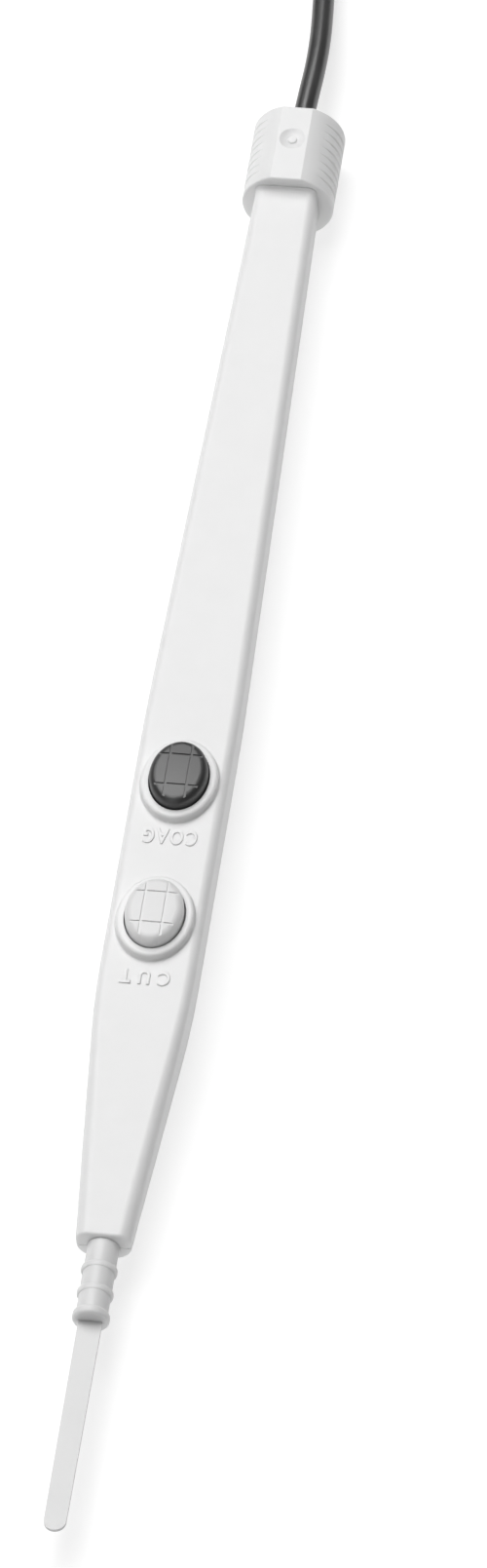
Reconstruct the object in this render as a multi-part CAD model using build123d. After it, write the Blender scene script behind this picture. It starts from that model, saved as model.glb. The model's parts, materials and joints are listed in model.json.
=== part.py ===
"""Electrosurgical pencil: a two-button handpiece with a blade electrode, its cord and its three-pin plug.

The pencil lies along Y with its blade towards -Y and its buttons up. The floor is z = 0, and the origin is
under the middle of the pencil. Distances called "behind the nose" are counted towards +Y from the nose face.
All sizes are in millimetres.
"""

import math
import os

from build123d import *

# Handle, seen from above
HANDLE_LENGTH = 144.7
GRIP_FRONT = 30.0
GRIP_BACK = 69.8
NOSE_WIDTH = 5.97
GRIP_WIDTH = 10.55
TAIL_WIDTH = 7.08
BLEND_LENGTH = 9.0

# Handle, seen from the side: heights above and below the axis
NOSE_ABOVE = 2.2
NOSE_BELOW = 2.2
GRIP_ABOVE = 3.93
TAIL_ABOVE = 3.1
TAIL_BELOW = 2.5

# Handle, seen from the front: rounding of its upper edges and of its belly
NOSE_UPPER_RADIUS = 1.4
GRIP_UPPER_RADIUS = 1.05
TAIL_UPPER_RADIUS = 1.05
NOSE_BELLY_RADIUS = 2.1
GRIP_BELLY_RADIUS = 4.65
TAIL_BELLY_RADIUS = 1.75

# Shells
WALL = 1.1
NOSE_EDGE_RADIUS = 0.3
TAIL_FLARE_RADIUS = 0.8
SEAM_GAP = 0.12
CAVITY_FRONT = 23.0
CAVITY_BACK = 126.5
PEG_DIAMETER = 1.1
BOSS_DIAMETER = 2.6
PEG_HEIGHT = 1.2
SHELL_PEGS = (84.0, 106.0)

# End cap
CAP_DIAMETER = 10.5
CAP_HEIGHT = 9.9
CAP_LENGTH = 10.8
CAP_TAIL_RADIUS = 0.3
CAP_RIM_RADIUS = 0.2
SPIGOT_LENGTH = 7.0
SPIGOT_STEP = 0.3
GROOVE_COUNT = 8
GROOVE_PITCH = 1.1
GROOVE_DEPTH = 0.26
GROOVE_WIDTH = 0.7
GROOVE_SWEEP_RADIUS = 5.75
GROOVE_ARC = 130.0
DIMPLE_PLACE = 6.0
DIMPLE_DIAMETER = 3.0
DIMPLE_DEPTH = 0.38
VESTIGE_DIAMETER = 1.1
VESTIGE_HEIGHT = 0.25
VESTIGE_RADIUS = 0.22

# Buttons and their collars
CUT_PLACE = 40.35
COAG_PLACE = 59.05
BUTTON_WIDTH = 6.45
BUTTON_LENGTH = 8.6
BUTTON_PROUD = 1.6
BUTTON_TRAVEL = 0.7
CROWN_RADIUS = 35.0
CROWN_EDGE_RADIUS = 0.9
PAD_GROOVE_WIDTH = 0.28
PAD_GROOVE_DEPTH = 0.12
PAD_WIDTH = 2.35
PAD_LENGTH = 4.1
COLLAR_WIDTH = 8.35
COLLAR_LENGTH = 10.7
COLLAR_HEIGHT = 0.95
COLLAR_DRAFT = 0.1
COLLAR_EDGE_RADIUS = 0.35
COLLAR_FOOT_RADIUS = 0.25
FLANGE_LIP = 0.5
FLANGE_THICKNESS = 0.8
PLUNGER_DIAMETER = 2.2

# Switch board and domes
BOARD_FRONT = 31.5
BOARD_BACK = 71.5
BOARD_WIDTH = 7.2
BOARD_THICKNESS = 1.0
BOARD_DROP = 0.2
BOARD_CORNER = 0.8
BOARD_PEGS = (35.5, 63.7)
DOME_DIAMETER = 5.8
DOME_HEIGHT = 0.85
DOME_SHEET = 0.15

# Electrode
BLADE_REACH = 26.45
BLADE_ROOT_WIDTH = 2.62
BLADE_TIP_WIDTH = 2.38
BLADE_THICKNESS = 0.4
SHAFT_DIAMETER = 2.36
SHAFT_DEPTH = 23.6
SLEEVE_REACH = 9.8
SLEEVE_DEPTH = 5.5
SLEEVE_DIAMETER = 3.45
SLEEVE_PLUG_DIAMETER = 2.9
SLEEVE_RING_WIDTH = 3.95
SLEEVE_RING_HEIGHT = 3.6
SLEEVE_RING_LENGTH = 0.9
SLEEVE_RING_PITCH = 3.0
SLEEVE_FLANGE_DIAMETER = 4.05
SLEEVE_FLANGE_LENGTH = 1.1

# Socket and strap
SOCKET_FRONT = 6.0
SOCKET_BACK = 26.0
SOCKET_FLOOR = 1.0
SOCKET_SLIT_WIDTH = 0.4
SOCKET_SLIT_LENGTH = 8.0
SOCKET_FLANGE_PLACE = 15.0
SOCKET_FLANGE_LENGTH = 1.2
SOCKET_FLANGE_DIAMETER = 4.2
STRAP_WIDTH = 2.0
STRAP_THICKNESS = 0.3
STRAP_FOOT = 3.0

# Cord, wires and ferrule
CORD_DIAMETER = 2.5
CORD_END_PLACE = 127.0
FERRULE_PLACE = 131.0
FERRULE_LENGTH = 5.0
FERRULE_WALL = 0.3
WIRE_DIAMETER = 0.9
WIRE_OVERLAP = 5.0
WIRE_SIDE = 2.0
WIRE_RISE = 0.6
ACTIVE_PAD_X = -2.2
CUT_PAD_X = 1.0
COAG_PAD_X = 2.4

# Put-away cord: a hank of layers of racetrack turns, held by a tie
HANK_LAYERS = 5
HANK_ROWS = 4
HANK_STRAIGHT = 35.0
HANK_INNER_RADIUS = 8.4
HANK_PITCH = 2.55
HANK_SLACK = 0.2
HANK_EDGE = 0.7
HANK_DISTANCE = 34.0
HANK_SIDE_STEP = 2.6
TIE_WIDTH = 4.0
TIE_THICKNESS = 0.5
TAIL_REACH = 8.0

# Plug
PLUG_WIDTH = 42.0
PLUG_LENGTH = 22.0
PLUG_SHOULDER = 9.0
PLUG_NECK_WIDTH = 13.0
PLUG_THICKNESS = 10.0
PLUG_CORNER_RADIUS = 3.0
PLUG_EDGE_RADIUS = 1.5
RELIEF_LENGTH = 10.0
RELIEF_DIAMETER = 7.6
RELIEF_TIP_DIAMETER = 4.4
RELIEF_GROOVES = 4
RELIEF_GROOVE_WIDTH = 0.9
RELIEF_GROOVE_DEPTH = 0.7
PIN_DIAMETER = 4.0
PIN_LENGTH = 15.0
PIN_TIP_RADIUS = 1.0
PIN_SHANK_DIAMETER = 3.0
PIN_SHANK_LENGTH = 8.0
PIN_SHORT_PITCH = 12.7
PIN_LONG_PITCH = 22.2

# Clearances
BUTTON_CLEARANCE = 0.15
STOP_CLEARANCE = 0.05
SLIDE_CLEARANCE = 0.06
SHAFT_CLEARANCE = 0.04
SEAT_CLEARANCE = 0.1
CORD_CLEARANCE = 0.1
CRIMP_CLEARANCE = 0.02

# Places that follow from the sizes above
AXIS_HEIGHT = CAP_HEIGHT / 2
GRIP_BELOW = AXIS_HEIGHT
PENCIL_LENGTH = BLADE_REACH + SLEEVE_REACH + HANDLE_LENGTH + CAP_LENGTH
NOSE_Y = BLADE_REACH + SLEEVE_REACH - PENCIL_LENGTH / 2
TAIL_Y = PENCIL_LENGTH / 2
ROOF = GRIP_ABOVE - WALL
COLLAR_TOP = GRIP_ABOVE + COLLAR_HEIGHT
NOSE_BORE = SLEEVE_PLUG_DIAMETER + 2 * SLIDE_CLEARANCE
REACH = 2 * PENCIL_LENGTH

HANK_TURN_RADIUS = HANK_INNER_RADIUS + (HANK_ROWS - 1) * HANK_PITCH
HANK_OUTER_RADIUS = HANK_TURN_RADIUS + CORD_DIAMETER / 2 + HANK_SLACK
HANK_HOLE_RADIUS = HANK_INNER_RADIUS - CORD_DIAMETER / 2 - HANK_SLACK
HANK_BOTTOM = TIE_THICKNESS + SEAT_CLEARANCE
HANK_HEIGHT = CORD_DIAMETER * HANK_LAYERS + 2 * HANK_SLACK
HANK_X = -HANK_SIDE_STEP - HANK_TURN_RADIUS
HANK_Y = TAIL_Y + HANK_DISTANCE + HANK_OUTER_RADIUS + HANK_STRAIGHT / 2
PLUG_X = HANK_X + HANK_INNER_RADIUS
PLUG_Y = HANK_Y + TAIL_REACH + RELIEF_LENGTH
PLUG_BASE = HANK_BOTTOM + HANK_HEIGHT
PLUG_AXIS = PLUG_BASE + PLUG_THICKNESS / 2
LOW_TURN = HANK_BOTTOM + HANK_SLACK + CORD_DIAMETER / 2
TOP_TURN = HANK_BOTTOM + HANK_HEIGHT - HANK_SLACK - CORD_DIAMETER / 2

# Route of the cord from the end cap into the hank's lowest outer turn
LEAD_ROUTE = (
    (0, TAIL_Y, AXIS_HEIGHT),
    (0, TAIL_Y + 3, AXIS_HEIGHT),
    (0.45, TAIL_Y + 13, 4.4),
    (-0.3, TAIL_Y + 22, 3.4),
    (-1.4, TAIL_Y + 32, 2.6),
    (-HANK_SIDE_STEP + 0.2, TAIL_Y + 42, LOW_TURN),
    (-HANK_SIDE_STEP, TAIL_Y + 54, LOW_TURN),
)

# Route of the cord from the hank's top inner turn up to the plug, which lies on the hank
TAIL_ROUTE = (
    (PLUG_X, HANK_Y + TAIL_REACH - 25, TOP_TURN),
    (PLUG_X, HANK_Y + TAIL_REACH - 18, TOP_TURN + 0.4),
    (PLUG_X, HANK_Y + TAIL_REACH - 6.5, PLUG_AXIS),
    (PLUG_X, HANK_Y + TAIL_REACH, PLUG_AXIS),
)


# Helpers


def y_at(behind_nose):
    """Y of a place that lies this far behind the nose face."""
    return NOSE_Y + behind_nose


def z_at(above_axis):
    """Z of a place that lies this far above the pencil's axis."""
    return AXIS_HEIGHT + above_axis


def along(behind_nose, nose, grip, tail):
    """A size of the handle: it grows from the nose to the grip, holds, then tapers to the tail."""
    rise = (grip - nose) / GRIP_FRONT
    fall = (tail - grip) / (HANDLE_LENGTH - GRIP_BACK)
    return grip - rise * ramp(GRIP_FRONT - behind_nose) + fall * ramp(behind_nose - GRIP_BACK)


def ramp(distance):
    """Zero before a corner and the distance after it, with the corner blended over BLEND_LENGTH."""
    half = BLEND_LENGTH / 2
    if abs(distance) >= half:
        return max(distance, 0)
    return (distance + half) ** 2 / (2 * BLEND_LENGTH)


def lying_cylinder(diameter, front, back):
    """A round bar on the pencil's axis, between two distances behind the nose."""
    middle = Pos(0, y_at((front + back) / 2), AXIS_HEIGHT)
    return middle * Rot(90, 0, 0) * Cylinder(diameter / 2, back - front)


def upright_cylinder(diameter, behind_nose, low, high):
    """A round post on the handle's middle line, between two heights above the axis."""
    middle = Pos(0, y_at(behind_nose), z_at((low + high) / 2))
    return middle * Cylinder(diameter / 2, high - low)


def lying_bar(width, height, front, back, drop=0.0):
    """A square bar centred on the pencil's axis, or drop below it."""
    middle = Pos(0, y_at((front + back) / 2), z_at(-drop))
    return middle * Box(width, back - front, height)


def oval(width, length, behind_nose, low, high):
    """An upright oval block on the handle's middle line, between two heights above the axis."""
    sketch = Pos(0, y_at(behind_nose), z_at(low)) * Ellipse(width / 2, length / 2)
    return extrude(sketch, amount=high - low)


def hollow(radius, share):
    """How far a hollow quarter round stands out from one side, at a share of its reach along that side."""
    return radius * (1 - math.sqrt(1 - (1 - share) ** 2))


def section(behind_nose, inset, lift=0.0):
    """The handle cut across: flat on top with rounded edges, and with a deeply rounded belly."""
    half = along(behind_nose, NOSE_WIDTH, GRIP_WIDTH, TAIL_WIDTH) / 2 - inset
    above = along(behind_nose, NOSE_ABOVE, GRIP_ABOVE, TAIL_ABOVE) - inset + lift
    below = along(behind_nose, NOSE_BELOW, GRIP_BELOW, TAIL_BELOW) - inset
    upper = along(behind_nose, NOSE_UPPER_RADIUS, GRIP_UPPER_RADIUS, TAIL_UPPER_RADIUS) - inset
    belly = along(behind_nose, NOSE_BELLY_RADIUS, GRIP_BELLY_RADIUS, TAIL_BELLY_RADIUS) - inset
    outline = make_face(
        Polyline((-half, -below), (half, -below), (half, above), (-half, above), close=True)
    )
    corners = outline.vertices().sort_by(Axis.Y)
    outline = fillet(corners[:2], belly)
    corners = outline.vertices().sort_by(Axis.Y)
    outline = fillet(corners[-2:], max(upper, SEAM_GAP))
    return Plane((0, y_at(behind_nose), AXIS_HEIGHT), x_dir=(1, 0, 0), z_dir=(0, -1, 0)) * outline


def taper_body(inset, front, back):
    """The handle's form between two distances behind the nose, lofted through its sections."""
    half = BLEND_LENGTH / 2
    steps = (-half, -half / 3, half / 3, half)
    bends = [corner + step for corner in (GRIP_FRONT, GRIP_BACK) for step in steps]
    stations = [front, *(place for place in bends if front < place < back), back]
    return loft([section(place, inset) for place in stations], ruled=True)


def corner_radii(route):
    """The largest bend that each corner of a cord's route leaves room for."""
    points = [Vector(*p) for p in route]
    radii = []
    for a, b, c in zip(points, points[1:], points[2:]):
        turn = math.radians((b - a).get_angle(c - b))
        radii.append(0.45 * min((b - a).length, (c - b).length) / math.tan(turn / 2))
    return radii


def tube(route, diameter):
    """A round tube along straight runs joined by tangent arcs."""
    path = FilletPolyline(*route, radius=corner_radii(route))
    start = Plane(origin=path @ 0, z_dir=path % 0)
    return sweep(start * Circle(diameter / 2), path=path)


# Handle shells


def tail_flare():
    """The hollow rounding by which the handle's top sweeps up to the end cap."""
    stations = []
    for share in (1.0, 0.7, 0.45, 0.25, 0.1):
        rise = hollow(TAIL_FLARE_RADIUS, share)
        stations.append(section(HANDLE_LENGTH - share * TAIL_FLARE_RADIUS, 0, rise))
    last = Pos(0, TAIL_FLARE_RADIUS / 10, 0) * stations[-1]
    return loft([*stations, last], ruled=True)


def handle_blank():
    """Both shells in one: outer form, cavity, spigot for the cap, nose bore and the cord's channel."""
    outer = taper_body(0, 0, HANDLE_LENGTH)
    nose_rim = outer.faces().sort_by(Axis.Y)[0].edges()
    outer = fillet(nose_rim, NOSE_EDGE_RADIUS) + tail_flare()
    spigot_back = HANDLE_LENGTH + SPIGOT_LENGTH
    spigot = extrude(section(HANDLE_LENGTH, SPIGOT_STEP), amount=-SPIGOT_LENGTH)
    blank = outer + spigot - taper_body(WALL, CAVITY_FRONT, CAVITY_BACK)
    blank -= lying_cylinder(NOSE_BORE, -WALL, CAVITY_FRONT + WALL)
    blank -= lying_cylinder(
        SOCKET_FLANGE_DIAMETER + 2 * SEAT_CLEARANCE,
        SOCKET_FLANGE_PLACE - SEAT_CLEARANCE,
        SOCKET_FLANGE_PLACE + SOCKET_FLANGE_LENGTH + SEAT_CLEARANCE,
    )
    blank -= lying_cylinder(CORD_DIAMETER + 2 * CORD_CLEARANCE, CAVITY_BACK - WALL, spigot_back + WALL)
    blank -= lying_cylinder(
        CORD_DIAMETER + 2 * (FERRULE_WALL + SEAT_CLEARANCE),
        FERRULE_PLACE - SEAT_CLEARANCE,
        FERRULE_PLACE + FERRULE_LENGTH + SEAT_CLEARANCE,
    )
    return blank


def half_room(above):
    """A block that fills everything above the handle's seam, or everything below it."""
    return Pos(0, 0, z_at(REACH / 2 if above else -REACH / 2)) * Box(REACH, REACH, REACH)


def shell_post(diameter, behind_nose, low, high):
    """A post inside the handle, trimmed to end inside the shell's wall."""
    post = upright_cylinder(diameter, behind_nose, low, high)
    return post & taper_body(WALL / 2, behind_nose - diameter, behind_nose + diameter)


def collar(place):
    """Raised oval ring round a button, rounded on top and hollowed out to a wider foot."""
    rises = [(COLLAR_TOP, 0.0)]
    for share in (1.0, 0.6, 0.3, 0.1):
        flare = hollow(COLLAR_FOOT_RADIUS, share)
        rises.append((GRIP_ABOVE + share * COLLAR_FOOT_RADIUS, COLLAR_DRAFT + flare))
    rises.append((ROOF + WALL / 2, rises[-1][1]))
    outlines = []
    for height, spread in rises:
        oval_there = Ellipse(COLLAR_WIDTH / 2 + spread, COLLAR_LENGTH / 2 + spread)
        outlines.append(Pos(0, y_at(place), z_at(height)) * oval_there)
    ring = loft(outlines, ruled=True)
    return fillet(ring.edges().sort_by(Axis.Z)[-1], COLLAR_EDGE_RADIUS)


def upper_shell(blank):
    """Top half of the handle, with a collar and a hole for each button."""
    shell = blank & half_room(above=True)
    for place in SHELL_PEGS:
        shell += shell_post(BOSS_DIAMETER, place, 0, GRIP_ABOVE)
        hole = PEG_DIAMETER + 2 * SEAT_CLEARANCE
        shell -= upright_cylinder(hole, place, 0, PEG_HEIGHT + SEAT_CLEARANCE)
    for place in (CUT_PLACE, COAG_PLACE):
        shell += collar(place)
    for place in (CUT_PLACE, COAG_PLACE):
        wide = BUTTON_WIDTH + 2 * BUTTON_CLEARANCE
        long = BUTTON_LENGTH + 2 * BUTTON_CLEARANCE
        shell -= oval(wide, long, place, ROOF - WALL, COLLAR_TOP + WALL)
    return shell


def lower_shell(blank):
    """Bottom half of the handle, with pegs for the upper shell and posts for the switch board."""
    shell = blank & half_room(above=False)
    seam = Pos(0, 0, z_at(-SEAM_GAP / 2)) * Box(REACH, REACH, SEAM_GAP)
    seam &= taper_body(-WALL, -WALL, HANDLE_LENGTH)
    shell -= seam - taper_body(SEAM_GAP, SEAM_GAP, HANDLE_LENGTH)
    for place in SHELL_PEGS:
        shell += shell_post(BOSS_DIAMETER, place, -GRIP_BELOW, 0)
        shell += upright_cylinder(PEG_DIAMETER, place, -WALL, PEG_HEIGHT)
    for place in BOARD_PEGS:
        under_board = -BOARD_DROP - BOARD_THICKNESS
        shell += shell_post(BOSS_DIAMETER, place, -GRIP_BELOW, under_board)
        shell += upright_cylinder(PEG_DIAMETER, place, under_board - WALL, STOP_CLEARANCE)
    return shell


# End cap


def side_groove(behind_nose):
    """A notch across the cap's right side that runs out towards the flats."""
    bottom = CAP_DIAMETER / 2 - GROOVE_DEPTH
    lip = bottom + GROOVE_WIDTH / 2
    centre = bottom - GROOVE_SWEEP_RADIUS
    y = y_at(behind_nose)
    notch = Pos(0, 0, AXIS_HEIGHT) * make_face(
        Polyline((bottom, y), (lip, y - GROOVE_WIDTH / 2), (lip, y + GROOVE_WIDTH / 2), close=True)
    )
    middle = Axis((centre, y, AXIS_HEIGHT), (0, 1, 0))
    return revolve(notch, middle, GROOVE_ARC / 2) + revolve(notch, middle, -GROOVE_ARC / 2)


def end_cap():
    """Collar with two flats, ribbed sides, a seat for the handle's end and a bore for the cord."""
    front = HANDLE_LENGTH
    back = HANDLE_LENGTH + CAP_LENGTH
    cap = lying_cylinder(CAP_DIAMETER, front, back) & lying_bar(CAP_DIAMETER, CAP_HEIGHT, front, back)
    cap = fillet(cap.faces().sort_by(Axis.Y)[-1].edges(), CAP_TAIL_RADIUS)
    cap = fillet(cap.faces().sort_by(Axis.Y)[0].edges(), CAP_RIM_RADIUS)
    first = front + (CAP_LENGTH - (GROOVE_COUNT - 1) * GROOVE_PITCH) / 2
    for number in range(GROOVE_COUNT):
        place = first + number * GROOVE_PITCH
        cap -= side_groove(place) + mirror(side_groove(place), Plane.YZ)
    mouth = section(HANDLE_LENGTH, SPIGOT_STEP - SEAT_CLEARANCE)
    cap -= extrude(mouth, amount=-SPIGOT_LENGTH - SEAT_CLEARANCE)
    cap -= lying_cylinder(CORD_DIAMETER + 2 * CORD_CLEARANCE, front, back + WALL)
    return cap - dimple() + vestige()


def dimple():
    """Shallow round hollow in the cap's upper flat."""
    radius = ((DIMPLE_DIAMETER / 2) ** 2 + DIMPLE_DEPTH**2) / (2 * DIMPLE_DEPTH)
    centre = Pos(0, y_at(HANDLE_LENGTH + DIMPLE_PLACE), z_at(AXIS_HEIGHT - DIMPLE_DEPTH + radius))
    return centre * Sphere(radius)


def vestige():
    """Rounded moulding stub in the middle of the dimple."""
    bottom = AXIS_HEIGHT - 2 * DIMPLE_DEPTH
    stub = upright_cylinder(
        VESTIGE_DIAMETER, HANDLE_LENGTH + DIMPLE_PLACE, bottom, AXIS_HEIGHT - DIMPLE_DEPTH + VESTIGE_HEIGHT
    )
    return fillet(stub.edges().sort_by(Axis.Z)[-1], VESTIGE_RADIUS)


# Buttons and switches


def button(place):
    """Push button: domed oval cap with a grooved grip, a flange under the shell's roof and a plunger."""
    crown = COLLAR_TOP + BUTTON_PROUD
    flange_top = ROOF - STOP_CLEARANCE
    flange_bottom = flange_top - FLANGE_THICKNESS
    ball = Pos(0, y_at(place), z_at(crown - CROWN_RADIUS))
    cap = oval(BUTTON_WIDTH, BUTTON_LENGTH, place, flange_bottom, crown)
    cap &= ball * Sphere(CROWN_RADIUS)
    rim = cap.faces().sort_by(Axis.Z)[-1].edges()
    cap = fillet(rim, CROWN_EDGE_RADIUS)
    under_grooves = ball * Sphere(CROWN_RADIUS - PAD_GROOVE_DEPTH)
    deep = 2 * BUTTON_PROUD
    for side in (-1, 1):
        lengthways = Pos(side * PAD_WIDTH / 2, y_at(place), z_at(crown)) * Box(
            PAD_GROOVE_WIDTH, BUTTON_LENGTH, deep
        )
        crossways = Pos(0, y_at(place) + side * PAD_LENGTH / 2, z_at(crown)) * Box(
            BUTTON_WIDTH, PAD_GROOVE_WIDTH, deep
        )
        cap -= lengthways + crossways - under_grooves
    cap += oval(
        BUTTON_WIDTH + 2 * FLANGE_LIP, BUTTON_LENGTH + 2 * FLANGE_LIP, place, flange_bottom, flange_top
    )
    dome_top = DOME_HEIGHT - BOARD_DROP
    return cap + upright_cylinder(PLUNGER_DIAMETER, place, dome_top + STOP_CLEARANCE, flange_top)


def snap_dome(place):
    """Thin sprung dome that lies on the switch board under a button."""
    radius = ((DOME_DIAMETER / 2) ** 2 + DOME_HEIGHT**2) / (2 * DOME_HEIGHT)
    centre = Pos(0, y_at(place), z_at(DOME_HEIGHT - BOARD_DROP - radius))
    sheet = centre * Sphere(radius) - centre * Sphere(radius - DOME_SHEET)
    return sheet & upright_cylinder(2 * DOME_DIAMETER, place, -BOARD_DROP, DOME_HEIGHT)


def switch_board():
    """Circuit board under the buttons, on the lower shell's posts."""
    middle_drop = BOARD_DROP + BOARD_THICKNESS / 2
    board = lying_bar(BOARD_WIDTH, BOARD_THICKNESS, BOARD_FRONT, BOARD_BACK, middle_drop)
    board = fillet(board.edges().filter_by(Axis.Z), BOARD_CORNER)
    for place in BOARD_PEGS:
        hole = PEG_DIAMETER + 2 * SEAT_CLEARANCE
        board -= upright_cylinder(hole, place, -2 * BOARD_THICKNESS, BOARD_THICKNESS)
    return board


# Electrode and its socket


def electrode_blade():
    """Steel electrode in one piece: a round shaft that flattens into a round-ended blade."""
    shaft = lying_cylinder(SHAFT_DIAMETER, -SLEEVE_REACH / 2, SHAFT_DEPTH)
    shaft = chamfer(shaft.faces().sort_by(Axis.Y)[-1].edges(), SHAFT_DIAMETER / 8)
    root = y_at(-SLEEVE_REACH / 2)
    tip = y_at(-SLEEVE_REACH - BLADE_REACH)
    half_root = BLADE_ROOT_WIDTH / 2
    half_tip = BLADE_TIP_WIDTH / 2
    outline = Polyline(
        (-half_tip, tip + half_tip), (-half_root, root), (half_root, root), (half_tip, tip + half_tip)
    )
    end = ThreePointArc((half_tip, tip + half_tip), (0, tip), (-half_tip, tip + half_tip))
    flat = make_face([outline, end])
    blade = extrude(Pos(0, 0, z_at(-BLADE_THICKNESS / 2)) * flat, amount=BLADE_THICKNESS)
    return shaft + blade


def grip_ring(place):
    """Oval ring on the sleeve that stands out at the sides."""
    across = Plane((0, y_at(place), AXIS_HEIGHT), x_dir=(1, 0, 0), z_dir=(0, -1, 0))
    outline = across * Ellipse(SLEEVE_RING_WIDTH / 2, SLEEVE_RING_HEIGHT / 2)
    ring = extrude(outline, amount=SLEEVE_RING_LENGTH / 2, both=True)
    return fillet(ring.edges().filter_by(GeomType.ELLIPSE), SLEEVE_RING_LENGTH / 3)


def electrode_sleeve(blade):
    """Insulating sleeve moulded on the electrode, with two grip rings and an end flange."""
    sleeve = lying_cylinder(SLEEVE_DIAMETER, -SLEEVE_REACH, -STOP_CLEARANCE)
    sleeve += lying_cylinder(SLEEVE_PLUG_DIAMETER, -SLEEVE_REACH, SLEEVE_DEPTH)
    for number in (1, 2):
        place = -SLEEVE_REACH + SLEEVE_FLANGE_LENGTH / 2 + number * SLEEVE_RING_PITCH
        sleeve += grip_ring(place)
    flange = lying_cylinder(
        SLEEVE_FLANGE_DIAMETER, -SLEEVE_REACH, SLEEVE_FLANGE_LENGTH - SLEEVE_REACH
    )
    rims = flange.edges().filter_by(GeomType.CIRCLE)
    sleeve += fillet(rims, SLEEVE_FLANGE_LENGTH / 3)
    return sleeve - blade


def electrode_socket():
    """Brass tube that grips the shaft, slit into springy fingers at its mouth and held by a flange."""
    socket = lying_cylinder(SLEEVE_PLUG_DIAMETER, SOCKET_FRONT, SOCKET_BACK)
    flange_back = SOCKET_FLANGE_PLACE + SOCKET_FLANGE_LENGTH
    socket += lying_cylinder(SOCKET_FLANGE_DIAMETER, SOCKET_FLANGE_PLACE, flange_back)
    bore = SHAFT_DIAMETER + 2 * SHAFT_CLEARANCE
    socket -= lying_cylinder(bore, SOCKET_FRONT - WALL, SOCKET_BACK - SOCKET_FLOOR)
    slit_back = SOCKET_FRONT + SOCKET_SLIT_LENGTH
    socket -= lying_bar(SOCKET_SLIT_WIDTH, SLEEVE_DIAMETER, SOCKET_FRONT - WALL, slit_back)
    return socket - lying_bar(SLEEVE_DIAMETER, SOCKET_SLIT_WIDTH, SOCKET_FRONT - WALL, slit_back)


def active_strap():
    """Brass strip from the socket's closed end down onto the switch board."""
    foot_back = BOARD_FRONT + STRAP_FOOT
    foot = lying_bar(
        STRAP_WIDTH, STRAP_THICKNESS, SOCKET_BACK, foot_back, BOARD_DROP - STRAP_THICKNESS / 2
    )
    tab_height = SLEEVE_PLUG_DIAMETER / 2 + BOARD_DROP
    tab_drop = BOARD_DROP - tab_height / 2
    return foot + lying_bar(
        STRAP_WIDTH, tab_height, SOCKET_BACK, SOCKET_BACK + STRAP_THICKNESS, tab_drop
    )


# Cord, wires and ferrule


def wire(board_x, x, above):
    """One conductor from its pad on the board, past the shells' bosses, to the cord's end."""
    pad = z_at(WIRE_DIAMETER / 2 - BOARD_DROP)
    gather = CORD_DIAMETER / 2 - WIRE_DIAMETER
    route = (
        (board_x, y_at(BOARD_BACK - WIRE_OVERLAP), pad),
        (board_x, y_at(BOARD_BACK), pad),
        (x, y_at(SHELL_PEGS[0] - BOSS_DIAMETER), z_at(above)),
        (x, y_at(SHELL_PEGS[1] + BOSS_DIAMETER), z_at(above)),
        (math.copysign(gather, x), y_at(CORD_END_PLACE - WIRE_OVERLAP), z_at(above)),
        (math.copysign(gather, x), y_at(CORD_END_PLACE), z_at(above)),
    )
    return tube(route, WIRE_DIAMETER)


def cord_ferrule():
    """Ring crimped on the cord, held in a pocket of the shells."""
    outside = CORD_DIAMETER + 2 * FERRULE_WALL
    back = FERRULE_PLACE + FERRULE_LENGTH
    ring = lying_cylinder(outside, FERRULE_PLACE, back)
    return ring - lying_cylinder(CORD_DIAMETER + 2 * CRIMP_CLEARANCE, FERRULE_PLACE - WALL, back + WALL)


def cord_hank():
    """The outer form of the put-away cord: a racetrack ring."""
    ring = SlotCenterToCenter(HANK_STRAIGHT, 2 * HANK_OUTER_RADIUS)
    ring -= SlotCenterToCenter(HANK_STRAIGHT, 2 * HANK_HOLE_RADIUS)
    hank = extrude(Pos(HANK_X, HANK_Y, HANK_BOTTOM) * Rot(0, 0, 90) * ring, amount=HANK_HEIGHT)
    flats = hank.faces().filter_by(Axis.Z)
    return chamfer(flats.edges(), HANK_EDGE)


def hank_tie():
    """Band round the side of the hank that is away from the pencil's axis."""
    limb = HANK_OUTER_RADIUS - HANK_HOLE_RADIUS
    inside_width = limb + 2 * SEAT_CLEARANCE
    inside_height = HANK_HEIGHT + 2 * SEAT_CLEARANCE
    middle = Pos(HANK_X - HANK_HOLE_RADIUS - limb / 2, HANK_Y, HANK_BOTTOM + HANK_HEIGHT / 2)
    loop = RectangleRounded(
        inside_width + 2 * TIE_THICKNESS, inside_height + 2 * TIE_THICKNESS, HANK_EDGE + TIE_THICKNESS
    )
    loop -= RectangleRounded(inside_width, inside_height, HANK_EDGE)
    band = extrude(Plane.XZ * loop, amount=TIE_WIDTH / 2, both=True)
    return middle * band


# Plug


def pin_places():
    """Where each pin stands across the plug, by the name of what it carries."""
    first = -(PIN_SHORT_PITCH + PIN_LONG_PITCH) / 2
    return {
        "plug_cut_pin": first,
        "plug_coag_pin": first + PIN_SHORT_PITCH,
        "plug_active_pin": first + PIN_SHORT_PITCH + PIN_LONG_PITCH,
    }


def plug_pin(across):
    """Round pin with a rounded end and a thinner shank that is moulded into the plug."""
    face_y = PLUG_Y + PLUG_LENGTH
    lie = Rot(-90, 0, 0)
    pin = Cylinder(PIN_DIAMETER / 2, PIN_LENGTH)
    pin = fillet(pin.faces().sort_by(Axis.Z)[-1].edges(), PIN_TIP_RADIUS)
    shank = Cylinder(PIN_SHANK_DIAMETER / 2, PIN_SHANK_LENGTH)
    place = Pos(PLUG_X + across, face_y, PLUG_AXIS) * lie
    return place * (Pos(0, 0, PIN_LENGTH / 2) * pin + Pos(0, 0, -PIN_SHANK_LENGTH / 2) * shank)


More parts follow.
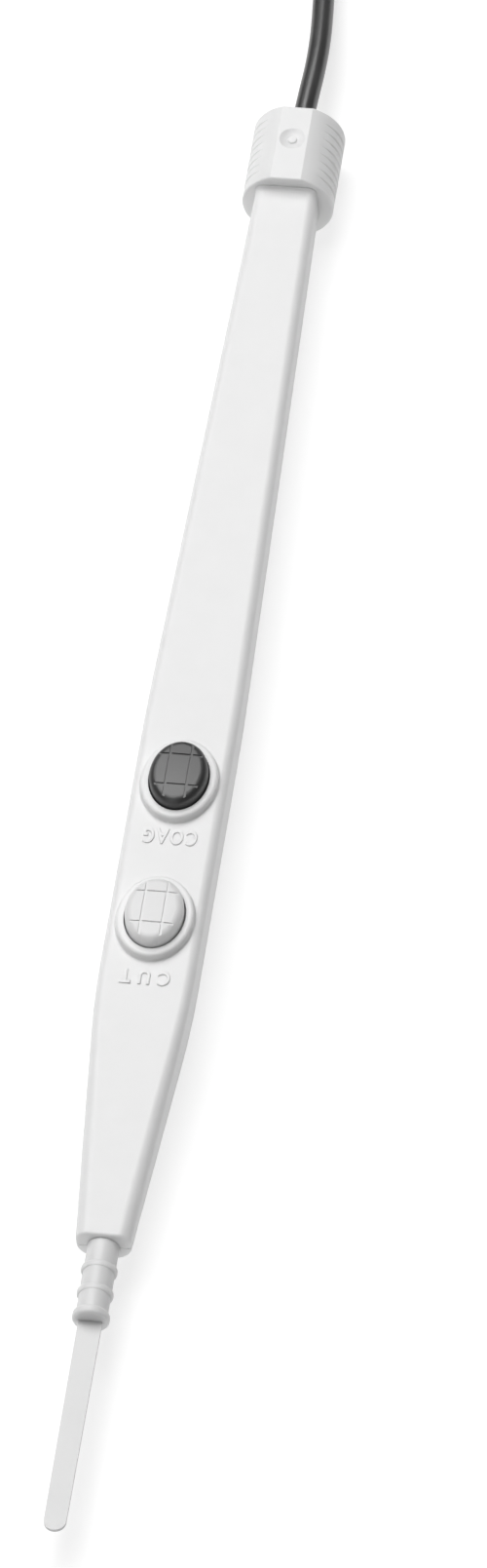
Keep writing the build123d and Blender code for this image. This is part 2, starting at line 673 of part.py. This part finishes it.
def plug_body(pins):
    """Flat moulded plug, wide at its pins and narrow where the cord goes in."""
    half = PLUG_WIDTH / 2
    neck = PLUG_NECK_WIDTH / 2
    shoulder = PLUG_LENGTH - PLUG_SHOULDER
    outline = make_face(
        Polyline(
            (-neck, 0), (neck, 0), (half, shoulder), (half, PLUG_LENGTH),
            (-half, PLUG_LENGTH), (-half, shoulder), close=True,
        )
    )
    outline = fillet([v for v in outline.vertices() if v.Y > 0], PLUG_CORNER_RADIUS)
    body = extrude(Pos(PLUG_X, PLUG_Y, PLUG_BASE) * outline, amount=PLUG_THICKNESS)
    body = fillet(body.faces().filter_by(Axis.Z).edges(), PLUG_EDGE_RADIUS)
    for pin in pins:
        body -= pin
    return body


def plug_strain_relief():
    """Soft tapered sleeve, ringed with grooves, where the cord goes into the plug."""
    taper = Cone(RELIEF_DIAMETER / 2, RELIEF_TIP_DIAMETER / 2, RELIEF_LENGTH)
    pitch = RELIEF_LENGTH / (RELIEF_GROOVES + 1)
    for number in range(1, RELIEF_GROOVES + 1):
        height = number * pitch - RELIEF_LENGTH / 2
        share = number / (RELIEF_GROOVES + 1)
        radius = (RELIEF_DIAMETER + (RELIEF_TIP_DIAMETER - RELIEF_DIAMETER) * share) / 2
        ring = Cylinder(RELIEF_DIAMETER, RELIEF_GROOVE_WIDTH)
        ring -= Cylinder(radius - RELIEF_GROOVE_DEPTH, RELIEF_GROOVE_WIDTH)
        taper -= Pos(0, 0, height) * ring
    middle = Pos(PLUG_X, PLUG_Y - RELIEF_LENGTH / 2, PLUG_AXIS)
    return middle * Rot(90, 0, 0) * taper


# The whole object


def pencil():
    """Every piece, by the name of its node."""
    blank = handle_blank()
    blade = electrode_blade()
    pins = {name: plug_pin(across) for name, across in pin_places().items()}
    return {
        "upper_shell": upper_shell(blank),
        "lower_shell": lower_shell(blank),
        "end_cap": end_cap(),
        "cut_button": button(CUT_PLACE),
        "coag_button": button(COAG_PLACE),
        "cut_dome": snap_dome(CUT_PLACE),
        "coag_dome": snap_dome(COAG_PLACE),
        "switch_board": switch_board(),
        "electrode_blade": blade,
        "electrode_sleeve": electrode_sleeve(blade),
        "electrode_socket": electrode_socket(),
        "active_strap": active_strap(),
        "active_wire": wire(ACTIVE_PAD_X, -WIRE_SIDE, 0),
        "cut_wire": wire(CUT_PAD_X, WIRE_SIDE, WIRE_RISE),
        "coag_wire": wire(COAG_PAD_X, WIRE_SIDE, -WIRE_RISE),
        "cord_end": lying_cylinder(CORD_DIAMETER, CORD_END_PLACE, HANDLE_LENGTH + CAP_LENGTH),
        "cord_ferrule": cord_ferrule(),
        "cord_lead": tube(LEAD_ROUTE, CORD_DIAMETER),
        "cord_hank": cord_hank(),
        "cord_tail": tube(TAIL_ROUTE, CORD_DIAMETER),
        "hank_tie": hank_tie(),
        "plug_body": plug_body(pins.values()),
        "plug_strain_relief": plug_strain_relief(),
        **pins,
    }


def main():
    os.makedirs("parts", exist_ok=True)
    for name, piece in pencil().items():
        export_step(piece, f"parts/{name}.step")
    for name, route in (("lead", LEAD_ROUTE), ("tail", TAIL_ROUTE)):
        print(name, "bend radii", [round(r, 1) for r in corner_radii(route)])


main()
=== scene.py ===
"""Looks of the electrosurgical pencil: camera, light, cord, materials and the words by its buttons."""

import json
import math

import bpy
from mathutils import Matrix, Vector


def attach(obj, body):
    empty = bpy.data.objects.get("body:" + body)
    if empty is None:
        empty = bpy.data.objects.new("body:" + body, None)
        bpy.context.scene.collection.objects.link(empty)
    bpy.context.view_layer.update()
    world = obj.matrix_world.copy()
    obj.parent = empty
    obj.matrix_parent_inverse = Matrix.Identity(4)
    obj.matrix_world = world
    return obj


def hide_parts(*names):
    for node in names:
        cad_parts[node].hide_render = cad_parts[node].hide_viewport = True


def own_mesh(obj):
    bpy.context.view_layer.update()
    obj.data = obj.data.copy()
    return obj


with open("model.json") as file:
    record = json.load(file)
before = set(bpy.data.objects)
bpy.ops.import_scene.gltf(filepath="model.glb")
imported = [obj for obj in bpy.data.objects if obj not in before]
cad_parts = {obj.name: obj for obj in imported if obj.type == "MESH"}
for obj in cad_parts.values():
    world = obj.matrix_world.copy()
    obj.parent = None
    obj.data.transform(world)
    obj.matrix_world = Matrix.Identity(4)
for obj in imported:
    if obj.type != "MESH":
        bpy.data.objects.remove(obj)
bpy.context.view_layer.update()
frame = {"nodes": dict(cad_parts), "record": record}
nodes = frame["nodes"]
scene = bpy.context.scene

# Sizes and places repeated from the part, in millimetres
MM = 0.001
NOSE_Y = -59.625
TAIL_Y = 95.875
AXIS_HEIGHT = 4.95
TOP_ABOVE_AXIS = 3.93
TOP = AXIS_HEIGHT + TOP_ABOVE_AXIS
CORD_DIAMETER = 2.5
HANK_X = -18.65
HANK_Y = 164.875
HANK_LAYERS = 5
HANK_ROWS = 4
HANK_STRAIGHT = 35.0
HANK_INNER_RADIUS = 8.4
HANK_PITCH = 2.55
LOW_TURN = 2.05
LEAD_ROUTE = (
    (0, TAIL_Y, AXIS_HEIGHT),
    (0, TAIL_Y + 3, AXIS_HEIGHT),
    (0.45, TAIL_Y + 13, 4.4),
    (-0.3, TAIL_Y + 22, 3.4),
    (-1.4, TAIL_Y + 32, 2.6),
    (-2.4, TAIL_Y + 42, LOW_TURN),
    (-2.6, TAIL_Y + 54, LOW_TURN),
)
PLUG_X = -10.25
TAIL_ROUTE = (
    (PLUG_X, HANK_Y - 10, 12.45),
    (PLUG_X, HANK_Y + 1.5, 18.5),
    (PLUG_X, HANK_Y + 8, 18.5),
)

# Control points in each half turn of the hank, and the angle between them in degrees
BEND_STEPS = 6
BEND_ANGLE = 180 / BEND_STEPS

# Camera: angles in degrees, target, lens and sensor in millimetres, distance in metres
CAMERA_AZIMUTH = 12.284
CAMERA_ELEVATION = 52.822
CAMERA_ROLL = -5.467
CAMERA_TARGET = (6.358, 2.85, AXIS_HEIGHT)
CAMERA_LENS = 256.45
SENSOR_HEIGHT = 36
CAMERA_DISTANCE = 1.2246
CAMERA_REACH = 20

# Light: places and sizes in metres, energy in watts
LAMP_SIZE = 0.9
KEY_PLACE = (-0.25, 0.5, 1.0)
KEY_ENERGY = 11.2
TOP_LAMP_PLACE = (-0.25, -0.1, 1.1)
TOP_LAMP_ENERGY = 4.2
FILL_PLACE = (-0.3, -1.1, 0.6)
FILL_ENERGY = 2.4
SKY_STRENGTH = 0.08

# Floor: half its width in metres, and how strongly it shines by itself
FLOOR_REACH = 3
FLOOR_GLOW = 0.68

# Surfaces: sizes of spots and grain in millimetres, and shares
SPOT_SIZE = 4.0
SPOT_DETAIL = 4
SPOT_DARK_END = 0.3
SPOT_PALE_END = 0.7
GLOSS_SPREAD = 0.15
GRAIN_SIZE = 0.2
GRAIN_DETAIL = 2
GRAIN_HEIGHT = GRAIN_SIZE / 4
SCATTER_WEIGHT = 0.7

# Letters: relief in millimetres, and a capital's height as a share of the font's size
LETTER_OFFSET = 0.02
LETTER_EXTRUDE = 0.05
LETTER_ROUNDING = 0.08
CAPITAL_SHARE = 0.7


# Camera and light


def add_camera():
    """The photograph's view: a long lens above the nose, a little to the right and rolled."""
    azimuth = math.radians(CAMERA_AZIMUTH)
    elevation = math.radians(CAMERA_ELEVATION)
    roll = math.radians(CAMERA_ROLL)
    back = Vector(
        (
            math.sin(azimuth) * math.cos(elevation),
            -math.cos(azimuth) * math.cos(elevation),
            math.sin(elevation),
        )
    )
    level = Vector((math.cos(azimuth), math.sin(azimuth), 0))
    steep = back.cross(level)
    right = level * math.cos(roll) + steep * math.sin(roll)
    up = steep * math.cos(roll) - level * math.sin(roll)
    data = bpy.data.cameras.new("camera")
    data.sensor_fit = "VERTICAL"
    data.sensor_height = SENSOR_HEIGHT
    data.lens = CAMERA_LENS
    data.clip_end = CAMERA_REACH
    camera = bpy.data.objects.new("camera", data)
    place = Vector(CAMERA_TARGET) * MM + back * CAMERA_DISTANCE
    turn = Matrix((right, up, back)).transposed().to_4x4()
    camera.matrix_world = Matrix.Translation(place) @ turn
    scene.collection.objects.link(camera)
    scene.camera = camera


def add_area(name, place, energy):
    """A square soft light that faces the middle of the pencil."""
    data = bpy.data.lights.new(name, "AREA")
    data.size = LAMP_SIZE
    data.energy = energy
    lamp = bpy.data.objects.new(name, data)
    lamp.location = place
    lamp.rotation_euler = (-Vector(place)).to_track_quat("-Z", "Y").to_euler()
    scene.collection.objects.link(lamp)


def add_light():
    """A broad key above and behind the pencil, a lamp overhead, a weak fill in front and an even sky."""
    scene.view_settings.view_transform = "Standard"
    scene.world = bpy.data.worlds.new("sky")
    scene.world.use_nodes = True
    background = scene.world.node_tree.nodes["Background"]
    background.inputs["Color"].default_value = (1, 1, 1, 1)
    background.inputs["Strength"].default_value = SKY_STRENGTH
    add_area("key", KEY_PLACE, KEY_ENERGY)
    add_area("top", TOP_LAMP_PLACE, TOP_LAMP_ENERGY)
    add_area("fill", FILL_PLACE, FILL_ENERGY)


# Materials


def material(
    name,
    color,
    roughness,
    metallic=0.0,
    spots=0.03,
    grain=0.05,
    specular=0.5,
    depth=0.0,
):
    """A surface with faint cloudy colour, uneven gloss and fine grain, lit to a depth in millimetres."""
    made = bpy.data.materials.new(name)
    made.use_nodes = True
    tree = made.node_tree
    shader = tree.nodes["Principled BSDF"]
    shader.inputs["Metallic"].default_value = metallic
    shader.inputs["Specular IOR Level"].default_value = specular
    if depth:
        shader.inputs["Subsurface Weight"].default_value = SCATTER_WEIGHT
        shader.inputs["Subsurface Radius"].default_value = (1, 1, 1)
        shader.inputs["Subsurface Scale"].default_value = depth * MM
    place = tree.nodes.new("ShaderNodeTexCoord").outputs["Object"]

    def noise(size, detail):
        node = tree.nodes.new("ShaderNodeTexNoise")
        node.inputs["Scale"].default_value = 1 / (size * MM)
        node.inputs["Detail"].default_value = detail
        tree.links.new(place, node.inputs["Vector"])
        return node.outputs["Fac"]

    clouds = noise(SPOT_SIZE, SPOT_DETAIL)
    ramp = tree.nodes.new("ShaderNodeValToRGB")
    dark, pale = ramp.color_ramp.elements
    dark.position = SPOT_DARK_END
    pale.position = SPOT_PALE_END
    dark.color = (*(c * (1 - spots) for c in color), 1)
    pale.color = (*(min(1, c * (1 + spots)) for c in color), 1)
    tree.links.new(clouds, ramp.inputs["Fac"])
    tree.links.new(ramp.outputs["Color"], shader.inputs["Base Color"])
    gloss = tree.nodes.new("ShaderNodeMapRange")
    gloss.inputs["To Min"].default_value = roughness * (1 - GLOSS_SPREAD)
    gloss.inputs["To Max"].default_value = roughness * (1 + GLOSS_SPREAD)
    tree.links.new(clouds, gloss.inputs["Value"])
    tree.links.new(gloss.outputs["Result"], shader.inputs["Roughness"])
    bump = tree.nodes.new("ShaderNodeBump")
    bump.inputs["Strength"].default_value = grain
    bump.inputs["Distance"].default_value = GRAIN_HEIGHT * MM
    tree.links.new(noise(GRAIN_SIZE, GRAIN_DETAIL), bump.inputs["Height"])
    tree.links.new(bump.outputs["Normal"], shader.inputs["Normal"])
    return made


def dress_nodes():
    """Gives every CAD node its material."""
    looks = {
        "white_plastic": material("white_plastic", (0.74, 0.74, 0.74), 0.4, spots=0.012, depth=0.4),
        "white_button": material("white_button", (0.67, 0.67, 0.67), 0.4, spots=0.012),
        "grey_button": material("grey_button", (0.02, 0.02, 0.02), 0.42, spots=0.06, specular=0.8),
        "sleeve_plastic": material("sleeve_plastic", (0.68, 0.68, 0.68), 0.42, spots=0.012, depth=0.4),
        "steel": material("steel", (0.55, 0.55, 0.55), 0.5, metallic=0.2, grain=0.1),
        "dome_steel": material("dome_steel", (0.66, 0.66, 0.67), 0.3, metallic=1.0),
        "brass": material("brass", (0.78, 0.62, 0.3), 0.28, metallic=1.0),
        "board": material("board", (0.06, 0.25, 0.12), 0.45, spots=0.1),
        "wire_white": material("wire_white", (0.82, 0.82, 0.8), 0.45),
        "wire_yellow": material("wire_yellow", (0.78, 0.6, 0.1), 0.45),
        "wire_blue": material("wire_blue", (0.08, 0.2, 0.55), 0.45),
        "ferrule": material("ferrule", (0.7, 0.7, 0.72), 0.35, metallic=1.0),
        "cord_jacket": material("cord_jacket", (0.034, 0.034, 0.034), 0.33, spots=0.1, specular=1.0),
        "tie": material("tie", (0.8, 0.8, 0.79), 0.6, grain=0.2),
        "plug_plastic": material("plug_plastic", (0.05, 0.05, 0.052), 0.55, spots=0.1, grain=0.25),
        "nickel": material("nickel", (0.74, 0.73, 0.7), 0.2, metallic=1.0),
    }
    slots = {piece["node"]: piece["material_slot"] for piece in frame["record"]["subparts"]}
    for name, node in nodes.items():
        node.data.materials.clear()
        node.data.materials.append(looks[slots[name]])
    return looks


# Snap domes


def press_domes():
    """Gives each snap dome its own copy of its mesh."""
    for name, joint in (("cut_dome", "cut_press"), ("coag_dome", "coag_press")):
        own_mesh(nodes[name])


# Cord


def hank_points():
    """Control points of the put-away turns, layer on layer, each a racetrack to the left."""
    turns = []
    for layer in range(HANK_LAYERS):
        rows = range(HANK_ROWS)
        for row in reversed(rows) if layer % 2 == 0 else rows:
            turns.append((HANK_INNER_RADIUS + row * HANK_PITCH, LOW_TURN + layer * CORD_DIAMETER))
    half = HANK_STRAIGHT / 2
    spread = 1 / math.cos(math.radians(BEND_ANGLE / 2))
    points = []
    for (radius, height), (next_radius, next_height) in zip(turns, [*turns[1:], turns[-1]]):
        points += [(radius, -half / 2, height), (radius, half / 2, height)]
        for step in range(BEND_STEPS):
            angle = math.radians(BEND_ANGLE * (step + 0.5))
            reach = spread * radius
            points.append((reach * math.cos(angle), half + reach * math.sin(angle), height))
        points += [(-radius, half / 2, height), (-radius, -half / 2, height)]
        for step in range(BEND_STEPS):
            angle = math.radians(180 + BEND_ANGLE * (step + 0.5))
            share = (step + 0.5) / BEND_STEPS
            reach = spread * (radius + (next_radius - radius) * share)
            rise = height + (next_height - height) * share
            points.append((reach * math.cos(angle), -half + reach * math.sin(angle), rise))
    return [(HANK_X + x, HANK_Y + y, z) for x, y, z in points]


def add_cord(looks):
    """The whole cord on one smooth line: from the end cap, round the hank and into the plug."""
    route = [*LEAD_ROUTE, *hank_points(), *TAIL_ROUTE]
    data = bpy.data.curves.new("cord", "CURVE")
    data.dimensions = "3D"
    data.bevel_depth = CORD_DIAMETER / 2 * MM
    data.bevel_resolution = 6
    data.resolution_u = 8
    data.use_fill_caps = True
    spline = data.splines.new("NURBS")
    spline.points.add(len(route) - 1)
    for point, place in zip(spline.points, route):
        point.co = (*(c * MM for c in place), 1)
    spline.order_u = 3
    spline.use_endpoint_u = True
    data.materials.append(looks["cord_jacket"])
    cord = bpy.data.objects.new("cord", data)
    scene.collection.objects.link(cord)
    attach(cord, "handle")
    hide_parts("cord_lead", "cord_hank", "cord_tail")


# Words by the buttons


def add_word(name, text, looks, behind_nose, height, width, spacing):
    """A thin raised word on the handle's top, with the feet of its letters towards the tail."""
    data = bpy.data.curves.new(name, "FONT")
    data.body = text
    data.align_x = "CENTER"
    data.align_y = "CENTER"
    data.size = height / CAPITAL_SHARE * MM
    data.space_character = spacing
    data.offset = LETTER_OFFSET * MM
    data.extrude = LETTER_EXTRUDE * MM
    data.bevel_depth = LETTER_ROUNDING * MM
    data.bevel_resolution = 2
    data.materials.append(looks["white_plastic"])
    word = bpy.data.objects.new(name, data)
    word.location = (0, (NOSE_Y + behind_nose) * MM, TOP * MM)
    word.rotation_euler = (0, 0, math.pi)
    scene.collection.objects.link(word)
    bpy.context.view_layer.update()
    word.scale = (width * MM / word.dimensions.x, 1, 1)
    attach(word, "handle")


# Floor


def add_floor():
    """A wide pale floor, which is not part of the object and shines a little by itself."""
    data = bpy.data.meshes.new("floor")
    corners = [(x * FLOOR_REACH, y * FLOOR_REACH, 0) for x, y in ((-1, -1), (1, -1), (1, 1), (-1, 1))]
    data.from_pydata(corners, [], [(0, 1, 2, 3)])
    pale = material("floor", (0.4, 0.4, 0.4), 0.9, spots=0.0, grain=0.0, specular=0.1)
    shader = pale.node_tree.nodes["Principled BSDF"]
    shader.inputs["Emission Color"].default_value = (1, 1, 1, 1)
    shader.inputs["Emission Strength"].default_value = FLOOR_GLOW
    data.materials.append(pale)
    floor = bpy.data.objects.new("floor", data)
    scene.collection.objects.link(floor)


add_camera()
add_light()
add_floor()
looks = dress_nodes()
press_domes()
add_cord(looks)
add_word("coag_word", "COAG", looks, behind_nose=51.75, height=1.9, width=5.95, spacing=1.3)
add_word("cut_word", "CUT", looks, behind_nose=32.75, height=1.7, width=5.5, spacing=1.8)
